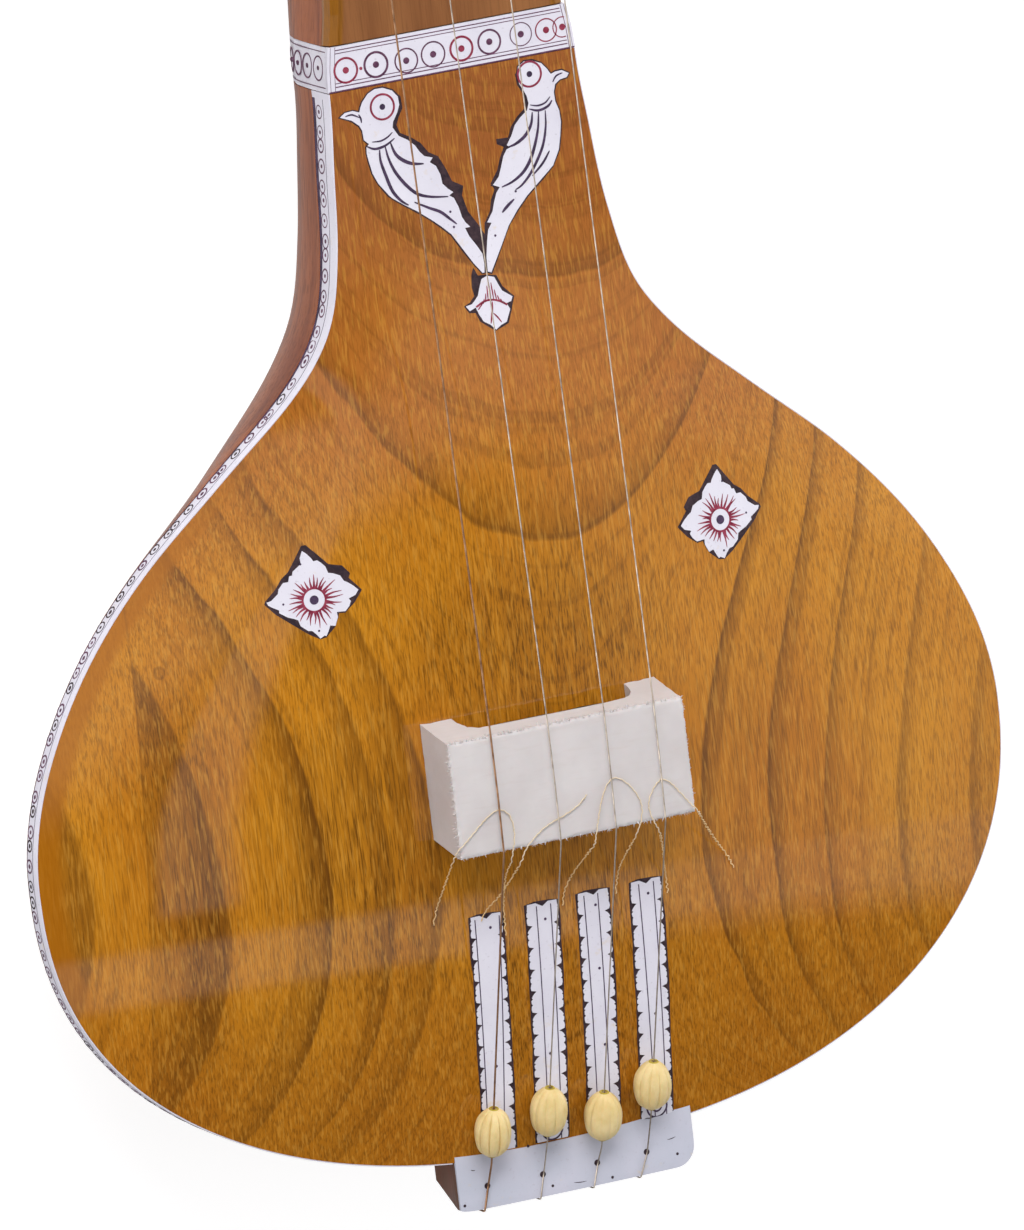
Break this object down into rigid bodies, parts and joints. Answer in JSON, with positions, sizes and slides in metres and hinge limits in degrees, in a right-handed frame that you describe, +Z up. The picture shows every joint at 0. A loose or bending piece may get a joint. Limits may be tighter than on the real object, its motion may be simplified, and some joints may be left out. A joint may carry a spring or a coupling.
{
  "type": "tanpura",
  "caption": "Long-necked wooden drone lute with a shallow bowl, a domed inlaid soundboard, a wide bridge, tuning pegs and sliding tuning beads, lying on its back.",
  "frame": {"origin": "middle of the flat on the back of the bowl, under the bowl's widest line", "axes": "+Z up out of the soundboard, +Y along the neck to the head, +X to the player's-view right of the soundboard"},
  "size_m": [0.3456, 1.199, 0.1455],
  "materials": {
    "bowl_wood": "reddish-brown polished tun wood",
    "face_wood": "amber-brown lacquered wood with dark growth lines",
    "inner_wood": "bare sawn wood",
    "celluloid": "white sheet, engraved and filled with dark mastic",
    "bone": "bone, filed and lightly polished",
    "bead": "cream, ribbed",
    "bronze": "drawn bronze wire",
    "steel": "drawn steel wire",
    "cotton": "twisted cotton",
    "peg_wood": "dark polished wood"
  },
  "bodies": {
    "body": {"tumba": "bowl_wood", "gulu": "bowl_wood", "neck_channel": "bowl_wood", "head_cap": "bowl_wood", "tailpiece_block": "bowl_wood", "tabli": "face_wood", "neck_faceplate": "face_wood", "heel_block": "inner_wood", "tail_block": "inner_wood", "band_front": "celluloid", "band_left": "celluloid", "band_right": "celluloid", "side_strip_left": "celluloid", "side_strip_right": "celluloid", "bird_left": "celluloid", "bird_right": "celluloid", "lotus": "celluloid", "rosette_left": "celluloid", "rosette_right": "celluloid", "inlay_strip_1": "celluloid", "inlay_strip_2": "celluloid", "inlay_strip_3": "celluloid", "inlay_strip_4": "celluloid", "tailpiece_plate": "celluloid", "bridge_top": "bone", "bridge_base": "bone", "nut": "bone", "string_guide": "bone", "string_1": "bronze", "tail_pin_1": "steel", "jawari_thread_1": "cotton", "string_2": "steel", "tail_pin_2": "steel", "jawari_thread_2": "cotton", "string_3": "steel", "tail_pin_3": "steel", "jawari_thread_3": "cotton", "string_4": "steel", "tail_pin_4": "steel", "jawari_thread_4": "cotton"},
    "peg_1": {"peg_1": "peg_wood", "peg_winding_1": "bronze"},
    "bead_1": {"bead_1": "bead"},
    "peg_2": {"peg_2": "peg_wood", "peg_winding_2": "steel"},
    "bead_2": {"bead_2": "bead"},
    "peg_3": {"peg_3": "peg_wood", "peg_winding_3": "steel"},
    "bead_3": {"bead_3": "bead"},
    "peg_4": {"peg_4": "peg_wood", "peg_winding_4": "steel"},
    "bead_4": {"bead_4": "bead"}
  },
  "joints": [
    {"name": "peg_1_turn", "type": "hinge", "parent": "body", "child": "peg_1", "pos_m": [-0.04821, 0.933, 0.078], "axis": [-1, 0, 0], "continuous": true},
    {"name": "peg_2_turn", "type": "hinge", "parent": "body", "child": "peg_2", "pos_m": [-0.0185, 1.005, 0.1095], "axis": [0, 0, 1], "continuous": true},
    {"name": "peg_3_turn", "type": "hinge", "parent": "body", "child": "peg_3", "pos_m": [0.0185, 1.005, 0.1095], "axis": [0, 0, 1], "continuous": true},
    {"name": "peg_4_turn", "type": "hinge", "parent": "body", "child": "peg_4", "pos_m": [0.04815, 0.965, 0.078], "axis": [1, 0, 0], "continuous": true},
    {"name": "bead_1_slide", "type": "slide", "parent": "body", "child": "bead_1", "axis": [0.0397, 0.9608, 0.2743], "range_m": [-0.003, 0.06]},
    {"name": "bead_2_slide", "type": "slide", "parent": "body", "child": "bead_2", "axis": [0.0455, 0.9612, 0.272], "range_m": [-0.003, 0.06]},
    {"name": "bead_3_slide", "type": "slide", "parent": "body", "child": "bead_3", "axis": [0.0472, 0.9626, 0.2669], "range_m": [-0.003, 0.06]},
    {"name": "bead_4_slide", "type": "slide", "parent": "body", "child": "bead_4", "axis": [0.0446, 0.9601, 0.276], "range_m": [-0.003, 0.06]}
  ]
}
